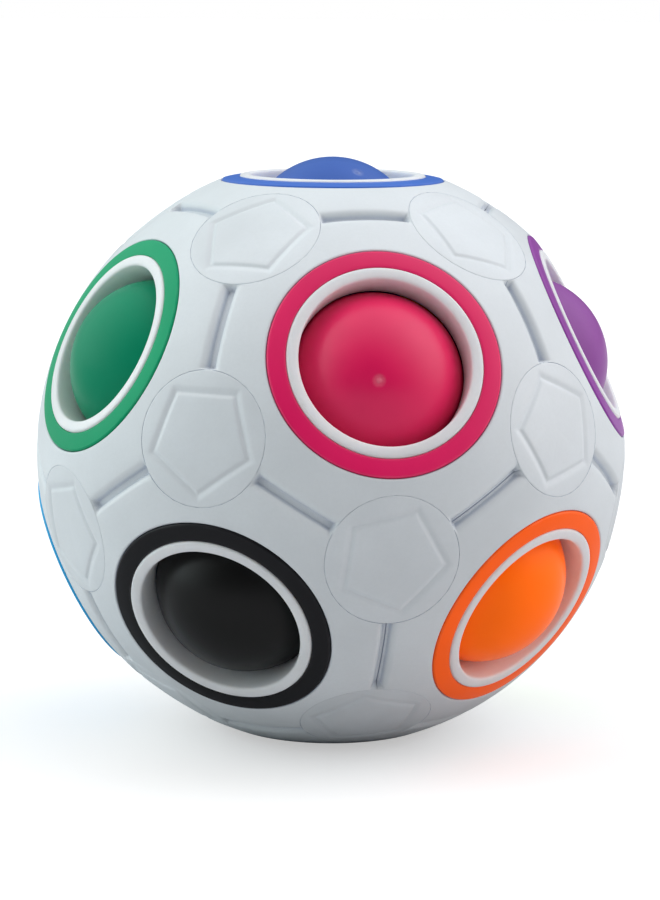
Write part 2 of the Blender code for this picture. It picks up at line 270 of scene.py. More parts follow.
class HalfEdge:
    """One side of one half of an edge between two holes, seen from a recess axis."""

    def __init__(self, corner, other, axis, neighbour, seam):
        self.corner = corner
        self.along = unit(other - (other @ corner) * corner)
        self.side = unit(axis - neighbour)
        self.seam = seam
        self.gap = SEAM_GAP if seam else 0.0

    def at(self, uv, radius):
        """Points over (u, v) on a sphere of this radius."""
        uv = np.asarray(uv, float)
        radius = np.broadcast_to(np.asarray(radius, float), len(uv))
        height = np.sqrt(radius**2 - (uv**2).sum(axis=1))
        return self.level(uv, height)

    def level(self, uv, height):
        uv = np.asarray(uv, float)
        height = np.broadcast_to(np.asarray(height, float), len(uv))
        return (
            uv[:, :1] * self.along
            + uv[:, 1:] * self.side
            + height[:, None] * self.corner
        )

    def middle(self, uv, radius):
        """Moves the last column to the plane midway along the edge, where the next half edge begins."""
        points = self.at(uv, radius)
        half = radians(41.810315) / 2
        normal = -sin(half) * self.corner + cos(half) * self.along
        last = points[-1]
        v = uv[-1][1]
        r = np.broadcast_to(np.asarray(radius, float), len(uv))[-1]
        mid = cos(half) * self.corner + sin(half) * self.along
        points[-1] = v * self.side + sqrt(r * r - v * v) * mid
        assert abs(last @ normal) < 1.0
        return points


def land_row(edge, away):
    """One row of the land: it follows the recess at this distance and turns along the slot, down into which it may reach."""
    v = edge.gap + away
    r = RECESS_R + away
    turn = asin(v / r)
    b = turn + (pi / 3 - turn) * np.array(ARC_STEPS)
    start = r * cos(turn)
    u = start + (HALF_EDGE - start) * np.array(LINE_STEPS)
    uv = np.concatenate([np.stack([r * np.cos(b), r * np.sin(b)], axis=1), np.stack([u, np.full(len(u), v)], axis=1)])
    return uv, edge.middle(uv, SHELL_R - land_drop(edge, uv))


def land_drop(edge, uv):
    """How far the surface lies below the ball's sphere."""
    t = np.clip((uv[:, 0] - SLOT_START) / (SLOT_FULL - SLOT_START), 0.0, 1.0)
    slot = np.interp(uv[:, 1], SLOT_V, SLOT_DROP) * t * t * (3 - 2 * t)
    if edge.seam:
        slot += 0.05 * (uv[:, 1] < edge.gap + 0.01)  # the halves' own edges are broken along the seam
    short = np.clip(RECESS_R + RECESS_FILLET - np.hypot(uv[:, 0], uv[:, 1]), 0.0, RECESS_FILLET)
    return slot + RECESS_FILLET - np.sqrt(RECESS_FILLET**2 - short**2)


def add_cell(sheet, hole):
    axis = AXES[hole]
    around = [c for c in CORNERS if hole in c[1]]
    first, second = frame_of(axis, around[0][0])
    around.sort(key=lambda c: round(float(np.arctan2(c[0] @ second, c[0] @ first)), 3) % 6.283)

    edges = []
    for k, (corner, holes) in enumerate(around):
        for step in (-1, 1):
            other, others = around[(k + step) % 5]
            neighbour = next(h for h in holes if h != hole and h in others)
            seam = half_of(neighbour) != half_of(hole)
            edges.append((k, step, HalfEdge(corner, other, axis, AXES[neighbour], seam), holes))
    by_place = {(k, step): (edge, holes) for k, step, edge, holes in edges}

    def round_loop(rows_of):
        """Closed rows made of the five corners' two half edges."""
        parts = []
        for k in range(5):
            ahead = np.array(rows_of(by_place[k, 1][0]))
            back = np.array(rows_of(by_place[(k + 1) % 5, -1][0]))
            parts += [ahead[:, :-1], back[:, :0:-1]]
        return np.concatenate(parts, axis=1)

    land = round_loop(lambda e: [land_row(e, d)[1] for d in reversed(ROWS)])
    even = 2 * pi * np.arange(AROUND) / AROUND
    real = np.unwrap(np.arctan2(land[0] @ second, land[0] @ first))
    profile = lip_profile()
    lathe = turned(profile, axis, first, second, 0.5 * even + 0.5 * real)
    rim = lathe[-1]
    blends = []
    for t in (0.06, 0.2, 0.4, 0.6, 0.8):
        row = rim * (1 - t) + land[0] * t
        blends.append(row / np.linalg.norm(row, axis=1)[:, None] * SHELL_R)
    # The collar, wall and lip rows take the lining, painted lighter than the shell
    sheet.grid(np.concatenate([lathe, blends, land]), closed=True, lit_lining=(0, len(profile) - 12))

    # Recesses and the seam faces below the slots
    skin_rows_of = {}
    corner_column = len(ARC_STEPS)
    for k, step, edge, holes in edges:
        gap = edge.gap
        hole_r = SCREW_HOLE_R if on_seam(holes) else 0.0
        uv, brink = land_row(edge, 0.0)
        wall_uv = uv[: corner_column + 1]
        wall_low = edge.level(wall_uv, RECESS_H)
        sheet.grid([brink[: corner_column + 1], wall_low])

        # Across the recess floor to the screw's hole, or to the middle
        n = len(wall_uv)
        if hole_r:
            b = np.linspace(pi / 3, asin(gap / hole_r), n)
            inner_uv = hole_r * np.stack([np.cos(b), np.sin(b)], axis=1)
        else:
            inner_uv = np.zeros((n, 2))
        inner = edge.level(inner_uv, RECESS_H)
        sheet.grid([wall_low, inner])

        # The inner skin's edge
        b = np.linspace(pi / 3, asin(gap / hole_r) if hole_r else pi / 3, 7)
        ring = hole_r * np.stack([np.cos(b), np.sin(b)], axis=1)
        start = sqrt(hole_r**2 - gap**2) if hole_r else 0.0
        line_u = np.linspace(start, HALF_EDGE * SKIN_R / SHELL_R, PER_HALF - 6 + 1)[1:]
        line_uv = np.stack([line_u, np.full(len(line_u), gap)], axis=1)
        skin_uv = np.concatenate([ring, line_uv])
        skin = edge.middle(skin_uv, SKIN_R)
        skin_rows_of[k, step] = skin
        if hole_r:
            sheet.rim_to_rim(inner, skin[:7])
        if edge.seam:
            upper = np.concatenate([inner[-1:], wall_low[-1:], brink[corner_column:]])
            sheet.rim_to_rim(upper, skin[6:])

    parts = []
    for k in range(5):
        parts += [skin_rows_of[k, 1][:-1], skin_rows_of[(k + 1) % 5, -1][:0:-1]]
    border = np.concatenate(parts)
    rows = [border]
    for t in (0.35, 0.7):
        row = border * (1 - t) + lathe[0] * t
        rows.append(row / np.linalg.norm(row, axis=1)[:, None] * SKIN_R)
    rows.append(lathe[0])
    sheet.grid(rows, closed=True)


def add_turned(sheet, profile, axis, first, second, count):
    """A closed solid of turning; the profile is a closed ring of points, or starts and ends at radius 0."""
    sheet.grid(turned(profile, axis, first, second, count), closed=True)


def show(mesh, name, body, *materials, node=None):
    obj = bpy.data.objects.new(name, mesh)
    bpy.context.scene.collection.objects.link(obj)
    for m in materials:
        obj.data.materials.append(m)
    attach(obj, body)
    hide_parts(node or name)
    return obj


# ---------------------------------------------------------------- materials


class Nodes:
    """Short names for building a node tree."""

    def __init__(self, tree):
        self.tree = tree

    def new(self, kind, **values):
        node = self.tree.nodes.new(kind)
        for key, value in values.items():
            if hasattr(node, key):
                setattr(node, key, value)
            else:
                node.inputs[key.replace("_", " ")].default_value = value
        return node

    def link(self, a, b):
        self.tree.links.new(a, b)

    def value(self, socket, value):
        if isinstance(value, bpy.types.NodeSocket):
            self.link(value, socket)
        else:
            socket.default_value = value

    def math(self, op, a, b=0.0, clamp=False):
        node = self.new("ShaderNodeMath", operation=op, use_clamp=clamp)
        self.value(node.inputs[0], a)
        self.value(node.inputs[1], b)
        return node.outputs[0]

    def noise(self, coords, scale, detail=3.0, roughness=0.5):
        node = self.new("ShaderNodeTexNoise")
        self.link(coords, node.inputs["Vector"])
        node.inputs["Scale"].default_value = scale
        node.inputs["Detail"].default_value = detail
        node.inputs["Roughness"].default_value = roughness
        return node.outputs["Fac"]

    def ramp(self, fac, low, high, a=0.0, b=1.0):
        node = self.new("ShaderNodeMapRange")
        self.value(node.inputs["Value"], fac)
        for key, v in (("From Min", low), ("From Max", high), ("To Min", a), ("To Max", b)):
            node.inputs[key].default_value = v
        return node.outputs["Result"]

    def mix(self, fac, a, b, blend="MIX"):
        node = self.new("ShaderNodeMix", data_type="RGBA", blend_type=blend)
        self.value(node.inputs[0], fac)
        self.value(node.inputs[6], a if not isinstance(a, tuple) else (*a, 1.0))
        self.value(node.inputs[7], b if not isinstance(b, tuple) else (*b, 1.0))
        return node.outputs[2]


def plastic(name, colour, roughness=0.36, grain=0.25, seed=0.0, soft=0.0, worn=0.35, speckle=0.0, gloss=0.5, shade_tint=None, reach=0.0014, gate_spot_and_highlight=None, depth=0.0007):
    """Moulded plastic: faint flow marks in the colour, a fine moulded grain, uneven gloss, and edges rubbed paler.

    A colour may be brighter than 1, a painted glow: there the plastic gives back more light than falls on it. The
    crevice tint is painted shade in corners narrower than reach. The gate spot is paler plastic round a moulding gate:
    partly the gate's own mark, partly a painted highlight.
    """
    made = bpy.data.materials.new(name)
    made.use_nodes = True
    tree = made.node_tree
    shader = tree.nodes["Principled BSDF"]
    n = Nodes(tree)
    place = n.new("ShaderNodeTexCoord").outputs["Object"]
    shift = n.new("ShaderNodeMapping")
    shift.inputs["Location"].default_value = (seed * 0.131, seed * 0.217, seed * 0.173)
    n.link(place, shift.inputs["Vector"])
    at = shift.outputs["Vector"]

    flow = n.noise(at, 55.0, 4.0, 0.55)
    cloud = n.noise(at, 14.0, 2.0, 0.5)
    dark = tuple(c * 0.90 for c in colour)
    light = tuple(c * 1.05 + 0.004 for c in colour)
    tone = n.mix(n.ramp(flow, 0.35, 0.65), dark, light)
    tone = n.mix(n.ramp(cloud, 0.35, 0.65, 0.0, 0.55), tone, colour)

    # Rubbed edges: where the rounded normal leaves the flat one
    bevel = n.new("ShaderNodeBevel", samples=4)
    bevel.inputs["Radius"].default_value = 0.00035
    geometry = n.new("ShaderNodeNewGeometry")
    dot = n.new("ShaderNodeVectorMath", operation="DOT_PRODUCT")
    n.link(bevel.outputs["Normal"], dot.inputs[0])
    n.link(geometry.outputs["Normal"], dot.inputs[1])
    edge = n.ramp(dot.outputs["Value"], 0.995, 0.90, 0.0, 1.0)
    scuff = n.ramp(n.noise(at, 420.0, 3.0, 0.6), 0.35, 0.7)
    wear = n.math("MULTIPLY", n.math("MULTIPLY", edge, scuff), worn)
    pale = tuple(c + max(1.0 - c, 0.0) * 0.22 for c in colour)
    tone = n.mix(wear, tone, pale)
    if speckle:
        specks = n.ramp(n.noise(at, 2600.0, 2.0, 0.6), 0.42, 0.62)
        tone = n.mix(n.math("MULTIPLY", specks, speckle), tone, tuple(c * 0.86 for c in colour))
    # A pale spot round the gate point: partly the gate's own paler plastic, partly a painted highlight
    if gate_spot_and_highlight is not None:
        near = n.new("ShaderNodeVectorMath", operation="DISTANCE")
        n.link(place, near.inputs[0])
        near.inputs[1].default_value = tuple(gate_spot_and_highlight)
        spot_and_highlight = n.ramp(near.outputs["Value"], 0.00085, 0.00020, 0.0, 0.24)
        spot_and_highlight = n.math("MULTIPLY", spot_and_highlight, n.ramp(n.noise(at, 2100.0, 3.0, 0.6), 0.30, 0.62, 0.45, 1.0))
        tone = n.mix(spot_and_highlight, tone, tuple(min(c, 1.0) * 0.35 + 0.62 for c in colour))
    # Painted shade: where ambient occlusion finds the surface closed in, the colour is multiplied by the shade tint
    if shade_tint:
        open_sky = n.new("ShaderNodeAmbientOcclusion", samples=6)
        open_sky.inputs["Distance"].default_value = reach
        painted_shade = n.ramp(open_sky.outputs["AO"], 0.82, 0.30, 0.0, 1.0)
        tone = n.mix(painted_shade, tone, n.mix(1.0, tone, shade_tint, "MULTIPLY"))
    n.link(tone, shader.inputs["Base Color"])

    patch = n.noise(at, 130.0, 4.0, 0.6)
    rough = n.ramp(patch, 0.3, 0.7, roughness - 0.045, roughness + 0.055)
    rough = n.math("ADD", rough, n.math("MULTIPLY", wear, 0.12))
    n.link(rough, shader.inputs["Roughness"])

    fine = n.noise(at, 2300.0, 3.0, 0.55)
    broad = n.noise(at, 190.0, 3.0, 0.5)
    bump = n.new("ShaderNodeBump")
    bump.inputs["Strength"].default_value = grain
    bump.inputs["Distance"].default_value = 0.00006
    height = n.math("ADD", n.math("MULTIPLY", fine, 0.45), n.math("MULTIPLY", broad, 1.3))
    n.link(height, bump.inputs["Height"])
    n.link(bump.outputs["Normal"], shader.inputs["Normal"])

    shader.inputs["IOR"].default_value = 1.49
    if soft:
        shader.inputs["Subsurface Weight"].default_value = soft
        shader.inputs["Subsurface Radius"].default_value = (1.0, 0.9, 0.8)
        shader.inputs["Subsurface Scale"].default_value = depth
    shader.inputs["Specular IOR Level"].default_value = gloss
    made.diffuse_color = (*(min(c, 1.0) for c in colour), 1.0)
    return made


def brushed_steel(name):
    """Zinc-plated steel: a turned grain, a dull yellow-grey film in patches and bright rubbed edges."""
    made = bpy.data.materials.new(name)
    made.use_nodes = True
    shader = made.node_tree.nodes["Principled BSDF"]
    n = Nodes(made.node_tree)
    at = n.new("ShaderNodeTexCoord").outputs["Object"]
    patch = n.noise(at, 600.0, 4.0, 0.6)
    film = n.mix(n.ramp(patch, 0.35, 0.65), (0.52, 0.50, 0.46), (0.66, 0.66, 0.67))
    bevel = n.new("ShaderNodeBevel", samples=4)
    bevel.inputs["Radius"].default_value = 0.00015
    dot = n.new("ShaderNodeVectorMath", operation="DOT_PRODUCT")
    n.link(bevel.outputs["Normal"], dot.inputs[0])
    n.link(n.new("ShaderNodeNewGeometry").outputs["Normal"], dot.inputs[1])
    wear = n.ramp(dot.outputs["Value"], 0.995, 0.88, 0.0, 0.8)
    n.link(n.mix(wear, film, (0.80, 0.80, 0.81)), shader.inputs["Base Color"])
    n.link(n.ramp(patch, 0.3, 0.7, 0.26, 0.42), shader.inputs["Roughness"])
    shader.inputs["Metallic"].default_value = 1.0
    bump = n.new("ShaderNodeBump")
    bump.inputs["Strength"].default_value = 0.2
    bump.inputs["Distance"].default_value = 0.00003
    n.link(n.noise(at, 5200.0, 3.0, 0.6), bump.inputs["Height"])
    n.link(bump.outputs["Normal"], shader.inputs["Normal"])
    made.diffuse_color = (0.6, 0.6, 0.6, 1.0)
    return made


def soft_rubber(name):
    """Dull grey elastomer with a bloomed surface, rubbed paler where the balls sit."""
    made = bpy.data.materials.new(name)
    made.use_nodes = True
    shader = made.node_tree.nodes["Principled BSDF"]
    n = Nodes(made.node_tree)
    at = n.new("ShaderNodeTexCoord").outputs["Object"]
    bloom = n.ramp(n.noise(at, 160.0, 5.0, 0.6), 0.35, 0.68)
    tone = n.mix(bloom, (0.055, 0.056, 0.060), (0.095, 0.097, 0.102))
    rubbed = n.ramp(n.noise(at, 900.0, 3.0, 0.6), 0.45, 0.7, 0.0, 0.4)
    n.link(n.mix(rubbed, tone, (0.12, 0.12, 0.125)), shader.inputs["Base Color"])
    n.link(n.ramp(bloom, 0.0, 1.0, 0.58, 0.78), shader.inputs["Roughness"])
    bump = n.new("ShaderNodeBump")
    bump.inputs["Strength"].default_value = 0.35
    bump.inputs["Distance"].default_value = 0.00008
    n.link(n.noise(at, 1400.0, 4.0, 0.6), bump.inputs["Height"])
    n.link(bump.outputs["Normal"], shader.inputs["Normal"])
    shader.inputs["Specular IOR Level"].default_value = 0.3
    made.diffuse_color = (0.08, 0.08, 0.085, 1.0)
    return made


SHELL_WHITE = (0.735, 0.775, 0.800)
CAP_WHITE = (0.730, 0.770, 0.797)
# The hole walls and lips take a brighter copy of the shell plastic, painted light where they lie in shade
LIT_LINING_WHITE = (0.84, 0.85, 0.86)
# Tint of the painted shade in slots, corners and grooves
CREVICE_SHADE = (0.58, 0.62, 0.75)
RING_TONES = {
    "blue": (0.045, 0.155, 0.600),
    "pink": (0.840, 0.010, 0.126),
    "purple": (0.300, 0.050, 0.370),
    "yellow": (0.900, 0.620, 0.018),
    "red": (0.700, 0.010, 0.014),
    "green": (0.002, 0.355, 0.155),
    # Orange above 1 is a painted glow: it gives back more light than falls on it
    "orange": (1.320, 0.150, 0.006),
    "lime": (0.370, 0.660, 0.030),
    "brown": (0.180, 0.072, 0.028),
    "cyan": (0.025, 0.420, 0.800),
    "black": (0.005, 0.005, 0.007),
    "grey": (0.270, 0.280, 0.290),
}
GLOSS = {"pink": 0.36, "green": 0.10, "black": 0.17, "orange": 0.12}
BALL_TONES = dict(
    RING_TONES,
    # Orange above 1 is a painted glow: it gives back more light than falls on it
    orange=(1.500, 0.212, 0.002),
    pink=(0.830, 0.008, 0.106),
    purple=(0.285, 0.065, 0.340),
    green=(0.002, 0.255, 0.128),
    blue=(0.038, 0.122, 0.480),
    black=(0.005, 0.005, 0.005),
)

# ---------------------------------------------------------------- pieces

for half in "ab":
    sheet = Sheet()
    for hole in HOLES:
        if half_of(hole) == half:
            add_cell(sheet, hole)
    # Lugs under the seam, each with the boss that carries it
    for corner, holes in CORNERS:
        sides = [half_of(h) for h in holes]
        if len(set(sides)) == 1 or half != ("a" if sides.count("a") == 2 else "b"):
            continue
        lone = next(h for h in holes if half_of(h) != half)
        first, second = frame_of(corner, -AXES[lone])
        plate = [(1.35, 28.7), (1.5, 28.6), (4.15, 28.6), (4.3, 28.75), (4.3, 30.15), (4.15, 30.3), (1.5, 30.3), (1.35, 30.15), (1.35, 28.7)]
        add_turned(sheet, plate, corner, first, second, 40)
        boss = [(0.0, 29.0), (1.9, 29.0), (2.0, 29.1), (2.0, 32.2), (0.0, 32.2)]
        rows = turned(boss, corner, first, second, 24) + first * 4.0
        sheet.grid(rows, closed=True)
    node = f"shell_half_{half}"
    # The shell carries painted shade in its slots and corners
    material = plastic(node, SHELL_WHITE, 0.40, 0.22, seed=1.0 + (half == "b"), soft=0.08, worn=0.5, speckle=0.10, shade_tint=CREVICE_SHADE)
    # The lining is painted light: a brighter copy of the shell plastic on the hole walls and lips
    lit_lining = plastic(node + "_lining", LIT_LINING_WHITE, 0.42, 0.22, seed=5.0 + (half == "b"), soft=0.45, depth=0.0016, worn=0.3, speckle=0.10)
    show(sheet.mesh(node, 50), node, "shell", material, lit_lining)


def ring_profile():
    """A ring that stands a little proud of the ball: a sloping top, a rounded shoulder and a short outer wall."""
    inner, outer, base = 10.985, 13.03, 31.35
    top_in, top_out, f = 32.86, 32.58, 0.24
    slope = atan2(top_out - top_in, outer - inner)
    made = [(inner + 0.08, base), (inner, base + 0.08), (inner, top_in - 0.07), (inner + 0.025, top_in - 0.02), (inner + 0.08, top_in)]
    x0, y0 = made[-1]
    corner_x, corner_y = outer - f, top_out - f
    x1, y1 = corner_x + f * cos(slope + pi / 2), corner_y + f * sin(slope + pi / 2)
    for t in (0.15, 0.35, 0.55, 0.75, 0.9):
        made.append((x0 + (x1 - x0) * t, y0 + (y1 - y0) * t + 0.04 * 4 * t * (1 - t)))
    for a in np.linspace(slope + pi / 2, 0.0, 8):
        made.append((corner_x + f * cos(a), corner_y + f * sin(a)))
    made += [(outer, base + 0.08), (outer - 0.08, base), (inner + 0.08, base)]
    return made


SEATED = {"cyan": 0.22}  # this ring isn't pressed quite home
for number, hole in enumerate(HOLES):
    axis = AXES[hole]
    first, second = frame_of(axis, next(c[0] for c in CORNERS if hole in c[1]))
    sheet = Sheet()
    profile = [(r, h + SEATED.get(hole, 0.0)) for r, h in ring_profile()]
    add_turned(sheet, profile, axis, first, second, 144)
    node = "ring_" + hole
    material = plastic(node, RING_TONES[hole], 0.34, 0.16, seed=3.0 + number, worn=0.4, gloss=GLOSS.get(hole, 0.22))
    show(sheet.mesh(node, 60), node, "shell", material)


def cap_heights(c):
    """Depth of the engraved pentagon below the ball's surface, against the distance from the cap's axis in corner radii."""
    knots = [(0.0, 0.14), (4.8, 0.06), (5.45, 0.045), (5.62, 0.06), (5.78, 0.115), (5.94, 0.19), (6.06, 0.215), (6.18, 0.21), (6.36, 0.165), (6.62, 0.085), (6.88, 0.028), (7.10, 0.005), (7.3, 0.0)]
    return np.interp(c, [k[0] for k in knots], [k[1] for k in knots])


def add_cap(sheet, axis, corner_direction):
    first, second = frame_of(axis, corner_direction)
    per_side = 26
    count = 5 * per_side
    angle = 2 * pi * np.arange(count) / count
    fold = np.abs((angle + pi / 5) % (2 * pi / 5) - pi / 5)  # from the nearest corner
    fold = pi / 5 - fold  # from the nearest side's middle
    reach = cos(pi / 5) / np.cos(fold)  # the pentagon's radius against its corner radius
    spokes = np.cos(angle)[:, None] * first + np.sin(angle)[:, None] * second
    rows = []

    def row(r, drop):
        r = np.broadcast_to(np.asarray(r, float), count)
        h = np.sqrt(SHELL_R**2 - r**2) - drop
        rows.append(r[:, None] * spokes + h[:, None] * axis)

    for c in (0.02, 1.5, 3.0, 4.3, 5.0, 5.4, 5.62, 5.74, 5.82, 5.90, 5.98, 6.06, 6.13, 6.19, 6.26, 6.34, 6.44, 6.56, 6.7, 6.84, 6.97, 7.08):
        row(c * reach, cap_heights(c))
    f = 0.09
    edge = CAP_R - f
    last = np.minimum(7.08 * reach, edge - 0.1)
    for t in (0.35, 0.7, 0.9):
        row(last * (1 - t) + edge * t, 0.0)
    for t in np.linspace(0, pi / 2, 5):
        r = edge + f * sin(t)
        rows.append(r * spokes + (on_sphere(edge) - (edge / on_sphere(edge)) * (r - edge) - f * (1 - cos(t))) * axis)
    low = CAP_BASE_H
    for r, h in ((CAP_R, low + 0.08), (CAP_R - 0.08, low), (2.8, low), (2.7, low + 0.1), (2.7, 33.95), (2.6, 34.05), (0.02, 34.05)):
        rows.append(r * spokes + h * axis)
    sheet.grid(rows, closed=True)
    start = sheet.add([axis * (SHELL_R - 0.14), axis * 34.05])
    top, under = start - count * len(rows), start - count
    for i in range(count):
        j = (i + 1) % count
        sheet.faces.append((top + i, top + j, start))
        sheet.faces.append((under + i, under + j, start + 1))


for node in [n for n in NODES if n.startswith("cap_")]:
    points = node_points(node)
    axis = unit(points.mean(axis=0))
    axis = max((c[0] for c in CORNERS), key=lambda a: a @ axis)
    height = points @ axis
    aside = points - height[:, None] * axis
    reach = np.linalg.norm(aside, axis=1)
    groove = aside[(reach > 6.15) & (reach < 6.35)]
    sheet = Sheet()
    add_cap(sheet, axis, groove[0])
    # The caps carry painted shade in the pentagon's groove and round their rim
    material = plastic(node, CAP_WHITE, 0.38, 0.22, seed=20.0 + int(node[4:]), soft=0.08, worn=0.5, speckle=0.10, shade_tint=(0.86, 0.88, 0.93), reach=0.0007)
    show(sheet.mesh(node, 60), node, "shell", material)


def add_ball(sheet, centre, radius, gate, around=96, rings=56):
    """A moulded ball with the small nub and dimple that its gate leaves, and a trace of the parting line."""
    first, second = frame_of(gate, np.array([0.3, 0.5, 0.81]) if abs(gate[2]) < 0.9 else np.array([1.0, 0.0, 0.0]))
    angle = [0.004, 0.010, 0.016, 0.022, 0.030, 0.040, 0.052, 0.066, 0.085]
    angle += list(np.linspace(0.085, pi, rings)[1:-1])
    angle = np.array(angle)
    distance = angle * radius
    rise = 0.03 * np.exp(-((distance / 0.16) ** 2)) - 0.075 * np.exp(-(((distance - 0.36) / 0.20) ** 2))
    parting = 0.012 * np.exp(-(((angle - pi / 2) * radius / 0.12) ** 2))
    spin = 2 * pi * np.arange(around) / around
    spokes = np.cos(spin)[:, None] * first + np.sin(spin)[:, None] * second
    rows = [
        centre + (radius - 0.012 + d) * (sin(a) * spokes + cos(a) * gate)
        for a, d in zip(angle, rise + parting)
    ]
    sheet.grid(rows, closed=True)
    n = len(rows)
    start = sheet.add([centre + (radius + 0.035) * gate, centre - (radius - 0.012) * gate])
    top, low = start - around * n, start - around
    for i in range(around):
        j = (i + 1) % around
        sheet.faces.append((top + i, top + j, start))
        sheet.faces.append((low + i, low + j, start + 1))


# Gate spots, pale with a painted highlight: pink's at its moulding gate, blue's placed where a painted highlight falls
GATES_AND_HIGHLIGHTS = {"pink": (-0.137, -0.974, 0.178), "blue": (0.194, -0.485, 0.853)}
REST = {"blue": -0.28, "pink": 0.15, "green": 0.34, "black": 0.40, "orange": 0.40, "cyan": 0.40, "lime": 0.40, "brown": 0.40}  # the play in a seat lets the top ball sink onto the core and a low one hang out
rng = np.random.default_rng(7)
for number, hole in enumerate(HOLES):
    node = "ball_" + hole
    spare = unit(rng.normal(size=3))
    if node not in frame["nodes"]:
        continue
    lo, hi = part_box(node)
    centre = (box_mid(node) - CENTRE) / MM
    radius = float(hi[2] - lo[2]) / 2 / MM
    # A gate that isn't in sight points away from its hole, towards the core.
    gate = unit(GATES_AND_HIGHLIGHTS[hole]) if hole in GATES_AND_HIGHLIGHTS else unit(spare - AXES[hole] * 1.2)
    centre = centre + AXES[hole] * REST.get(hole, 0.0)
    sheet = Sheet()
    add_ball(sheet, centre, radius, gate)
    gate_spot_and_highlight = CENTRE + (centre + gate * radius) * MM
    material = plastic(node, BALL_TONES[hole], 0.33, 0.14, seed=50.0 + number, worn=0.0, gloss=GLOSS.get(hole, 0.22), gate_spot_and_highlight=gate_spot_and_highlight)
    show(sheet.mesh(node), node, node, material)

def cross_drop(x, y):
    """Depth of a cross recess: two arms with sloping walls and a pointed middle."""
    arm = np.minimum(np.maximum(np.abs(x) - 0.24, np.abs(y) - 1.15), np.maximum(np.abs(y) - 0.24, np.abs(x) - 1.15))
    return np.interp(arm, [-0.16, 0.02, 0.10], [0.52, 0.40, 0.0]) + 0.10 * np.clip(1 - np.hypot(x, y) / 0.5, 0, 1)


def add_screw(sheet, axis, first, second):
    """Pan-head screw with a cross recess and a rolled thread."""
    count = 72
    angle = 2 * pi * np.arange(count) / count
    spokes = np.cos(angle)[:, None] * first + np.sin(angle)[:, None] * second
    rows = []
    for r in (0.02, 0.10, 0.17, 0.24, 0.30, 0.36, 0.44, 0.55, 0.70, 0.86, 1.0, 1.1, 1.18, 1.25, 1.34, 1.5, 1.7):
        h = 33.84 - 0.10 * (r / 1.9) ** 2 - cross_drop(r * np.cos(angle), r * np.sin(angle))
        rows.append(r * spokes + h[:, None] * axis)
    for r, h in ((1.9, 33.73), (2.08, 33.66), (2.2, 33.55), (2.27, 33.42), (2.28, 33.28), (2.28, 33.12), (2.22, 33.06), (1.3, 33.06), (1.0, 33.03), (0.97, 32.9)):
        rows.append(r * spokes + h * axis)
    pitch = 0.5
    for h in np.arange(32.86, 28.95, -pitch / 8):
        phase = (h / pitch + angle / (2 * pi)) % 1.0
        fade = min(1.0, (h - 28.9) / 0.6, (32.95 - h) / 0.3 + 0.2)
        r = 0.80 + 0.17 * fade * np.clip(1.6 - 5.2 * np.abs(phase - 0.5), 0.0, 1.0)
        rows.append(r[:, None] * spokes + h * axis)
    for r, h in ((0.66, 28.86), (0.45, 28.8), (0.02, 28.78)):
        rows.append(r * spokes + h * axis)
    sheet.grid(rows, closed=True)
    start = sheet.add([axis * (33.84 - 0.62), axis * 28.77])
    top, low = start - count * len(rows), start - count
    for i in range(count):
        j = (i + 1) % count
        sheet.faces.append((top + i, top + j, start))
        sheet.faces.append((low + i, low + j, start + 1))


steel = brushed_steel("screw")
for number, node in enumerate(n for n in NODES if n.startswith("screw_")):
    points = node_points(node)
    axis = max((c[0] for c in CORNERS), key=lambda a: a @ unit(points.mean(axis=0)))
    first, second = frame_of(axis, np.array([sin(number * 1.7), cos(number * 2.3), 0.37]))
    sheet = Sheet()
    add_screw(sheet, axis, first, second)
    show(sheet.mesh(node, 40), node, "shell", steel)


def add_petal(sheet, hole, radius=14.83, steps=9):
    """The twelfth part of the core that faces one hole: five triangles of the sphere and walls down towards the middle."""
    axis = AXES[hole]
    around = [c[0] for c in CORNERS if hole in c[1]]
    first, second = frame_of(axis, around[0])
    around.sort(key=lambda c: round(float(np.arctan2(c @ second, c @ first)), 3) % 6.283)
    rows = []
    for i in range(1, steps + 1):
        row = []
        for k in range(5):
            a, b = around[k], around[(k + 1) % 5]
            for t in np.arange(steps) / steps:
                edge = unit(a * (1 - t) + b * t)
                row.append(unit(axis * (1 - i / steps) + edge * (i / steps)))
        rows.append(np.array(row))
    # a shallow dish that the ball has worn, and a fine flash line along the petal's border
    made = []
    for row in rows:
        cosine = np.clip(row @ axis, -1, 1)
        dish = 0.05 * np.clip((cosine - 0.955) / 0.045, 0, 1)
        made.append(row * (radius - dish)[:, None])
    made.append(rows[-1] * (radius - 0.12))
    made += [rows[-1] * r for r in (12.0, 9.0, 6.0)]
    sheet.grid(made, closed=True)
    count = 5 * steps
    start = sheet.add([axis * (radius - 0.05), axis * 5.2])
    top, low = start - count * len(made), start - count
    for i in range(count):
        j = (i + 1) % count
        sheet.faces.append((top + i, top + j, start))
        sheet.faces.append((low + i, low + j, start + 1))


rubber = soft_rubber("core")
PRESSES = {j["name"] for j in frame["joints"]}
for hole in HOLES:
    sheet = Sheet()
    add_petal(sheet, hole)
    petal = show(sheet.mesh("core_" + hole, 40), "core_" + hole, "core", rubber, node="core_ball")
    press = f"ball_{hole}_press"
    if press in PRESSES:
        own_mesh(petal)
    elif hole == EMPTY_HOLE:
        # The travelling ball ends here, a little deeper than in its own seat
        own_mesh(petal)

# ---------------------------------------------------------------- floor, light and camera


